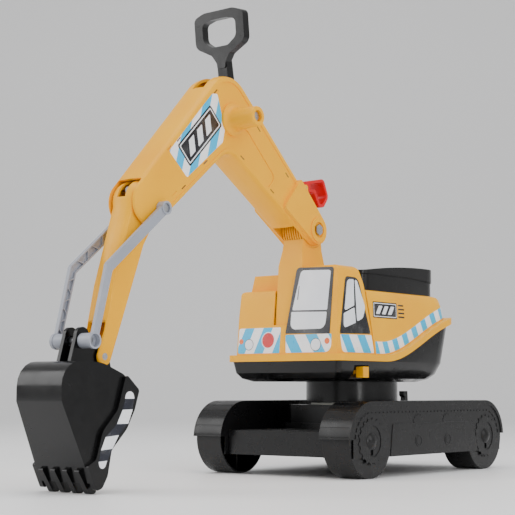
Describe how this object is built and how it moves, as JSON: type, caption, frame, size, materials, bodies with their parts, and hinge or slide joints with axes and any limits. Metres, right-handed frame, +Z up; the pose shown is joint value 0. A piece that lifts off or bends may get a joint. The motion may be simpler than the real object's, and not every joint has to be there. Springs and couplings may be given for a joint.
{
  "type": "ride on toy digger",
  "caption": "Ride-on toy excavator with roller tracks, swivelling house with cab and saddle seat, and a lever-worked boom, stick and bucket.",
  "frame": {"origin": "centre of the whole digger's footprint on the floor, in the resting pose", "axes": "+Z up, -Y is forward (the bucket end), +X is the cab side"},
  "size_m": [0.3288, 0.9762, 0.7383],
  "materials": {
    "yellow_plastic": "warm yellow, satin gloss",
    "black_plastic": "black, glossy with soft grain",
    "track_plastic": "near black, satin",
    "silver_plastic": "silver grey, satin",
    "red_plastic": "red, glossy",
    "slide_plastic": "pale, low friction",
    "steel": "zinc plated"
  },
  "bodies": {
    "chassis": {"chassis_deck": "track_plastic", "turret_block": "track_plastic", "slide_ring": "slide_plastic", "slew_bolt": "steel", "slew_nut": "steel", "track_shell_left": "track_plastic", "track_shell_right": "track_plastic", "track_cover_left": "track_plastic", "track_cover_right": "track_plastic", "front_axle": "steel", "rear_axle": "steel", "axle_caps": "track_plastic", "tow_peg": "track_plastic"},
    "wheel_front_left": {"roller_front_left": "track_plastic"},
    "wheel_front_right": {"roller_front_right": "track_plastic"},
    "wheel_rear_left": {"roller_rear_left": "track_plastic"},
    "wheel_rear_right": {"roller_rear_right": "track_plastic"},
    "house": {"lower_shell": "black_plastic", "upper_shell": "yellow_plastic", "cab_shell": "yellow_plastic", "seat": "black_plastic", "boom_post": "yellow_plastic", "ratchet_drum": "yellow_plastic", "slew_column": "black_plastic", "shell_screws": "steel"},
    "lock": {"lock_tab": "yellow_plastic"},
    "boom": {"boom_left": "yellow_plastic", "boom_right": "yellow_plastic", "boom_bolt": "steel", "boom_nut": "steel", "grip_screws": "steel", "release_pin": "steel", "handle_pin": "steel", "stick_pin": "steel", "link_bolts": "steel"},
    "release": {"release_lever": "red_plastic"},
    "handle": {"handle_lever": "black_plastic", "rod_pin": "steel"},
    "rod": {"push_rod": "silver_plastic"},
    "stick": {"stick_left": "yellow_plastic", "stick_right": "yellow_plastic", "tail_pin": "steel", "bucket_pin": "steel"},
    "links": {"link_left": "silver_plastic", "link_right": "silver_plastic", "link_pin": "steel"},
    "bucket_body": {"bucket": "black_plastic"}
  },
  "joints": [
    {"name": "wheel_front_left_spin", "type": "hinge", "parent": "chassis", "child": "wheel_front_left", "pos_m": [0.13, 0.067, 0.0585], "axis": [1, 0, 0], "continuous": true},
    {"name": "wheel_front_right_spin", "type": "hinge", "parent": "chassis", "child": "wheel_front_right", "pos_m": [-0.13, 0.067, 0.0585], "axis": [1, 0, 0], "continuous": true},
    {"name": "wheel_rear_left_spin", "type": "hinge", "parent": "chassis", "child": "wheel_rear_left", "pos_m": [0.13, 0.426, 0.0585], "axis": [1, 0, 0], "continuous": true},
    {"name": "wheel_rear_right_spin", "type": "hinge", "parent": "chassis", "child": "wheel_rear_right", "pos_m": [-0.13, 0.426, 0.0585], "axis": [1, 0, 0], "continuous": true},
    {"name": "slew", "type": "hinge", "parent": "chassis", "child": "house", "pos_m": [0, 0.2385, 0.153], "axis": [0, 0, 1], "continuous": true},
    {"name": "lock_slide", "type": "slide", "parent": "house", "child": "lock", "axis": [0, -1, 0], "range_m": [0, 0.02]},
    {"name": "boom_lift", "type": "hinge", "parent": "house", "child": "boom", "pos_m": [0, 0.0985, 0.405], "axis": [-1, 0, 0], "range_deg": [0, 30]},
    {"name": "release_press", "type": "hinge", "parent": "boom", "child": "release", "pos_m": [0, 0.0785, 0.4745], "axis": [-1, 0, 0], "range_deg": [0, 12], "stiffness_Nm_per_rad": 0.4, "springref_deg": -8.59},
    {"name": "stick_swing", "type": "hinge", "parent": "boom", "child": "stick", "pos_m": [0, -0.303, 0.409], "axis": [1, 0, 0], "range_deg": [-12, 38]},
    {"name": "bucket_curl", "type": "hinge", "parent": "stick", "child": "bucket_body", "pos_m": [0, -0.3845, 0.185], "axis": [1, 0, 0], "range_deg": [-6.5, 19.5]},
    {"name": "link_swing", "type": "hinge", "parent": "boom", "child": "links", "pos_m": [0, -0.2815, 0.402], "axis": [1, 0, 0], "range_deg": [-12.5, 39]},
    {"name": "handle_swing", "type": "hinge", "parent": "boom", "child": "handle", "pos_m": [0, -0.1175, 0.5585], "axis": [1, 0, 0], "range_deg": [-12.5, 38.5]},
    {"name": "rod_swing", "type": "hinge", "parent": "handle", "child": "rod", "pos_m": [0, -0.13131, 0.57563], "axis": [1, 0, 0], "range_deg": [-38.5, 12.5]}
  ],
  "couplings": [
    {"joint": "bucket_curl", "follows": "stick_swing", "ratio": 0.4946},
    {"joint": "link_swing", "follows": "stick_swing", "ratio": 1.014},
    {"joint": "handle_swing", "follows": "stick_swing", "ratio": 1},
    {"joint": "rod_swing", "follows": "stick_swing", "ratio": -1}
  ]
}
